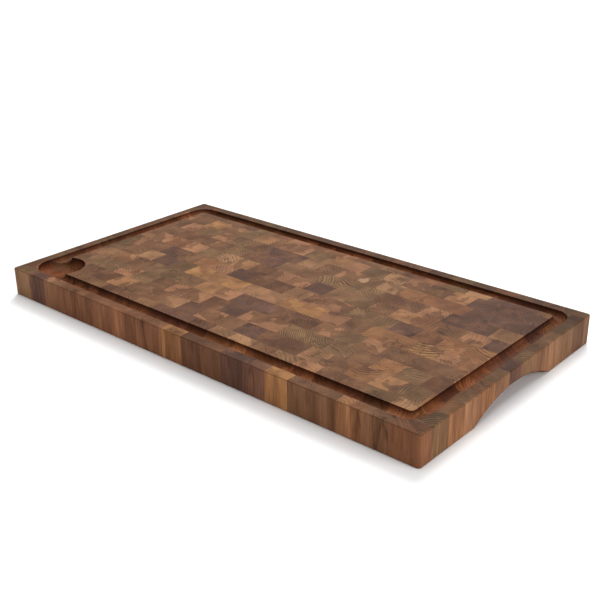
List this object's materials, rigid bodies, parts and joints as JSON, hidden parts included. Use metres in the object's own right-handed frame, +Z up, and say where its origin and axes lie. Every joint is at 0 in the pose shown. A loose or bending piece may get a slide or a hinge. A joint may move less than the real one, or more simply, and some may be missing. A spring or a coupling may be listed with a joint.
{
  "type": "end-grain cutting board",
  "caption": "Rectangular end-grain teak cutting board with a juice groove, a round juice well in one corner and arched finger grips under both ends.",
  "frame": {"origin": "middle of the underside", "axes": "+X towards the right end along the length, +Y towards the back, +Z up out of the work surface"},
  "size_m": [0.52, 0.28, 0.03],
  "materials": {
    "teak": "oiled, satin"
  },
  "bodies": {
    "root": {"strip_01_front_rim": "teak", "strip_02": "teak", "strip_03": "teak", "strip_04": "teak", "strip_05": "teak", "strip_06": "teak", "strip_07": "teak", "strip_08": "teak", "strip_09": "teak", "strip_10": "teak", "strip_11": "teak", "strip_12": "teak", "strip_13_back_rim": "teak"}
  },
  "joints": []
}
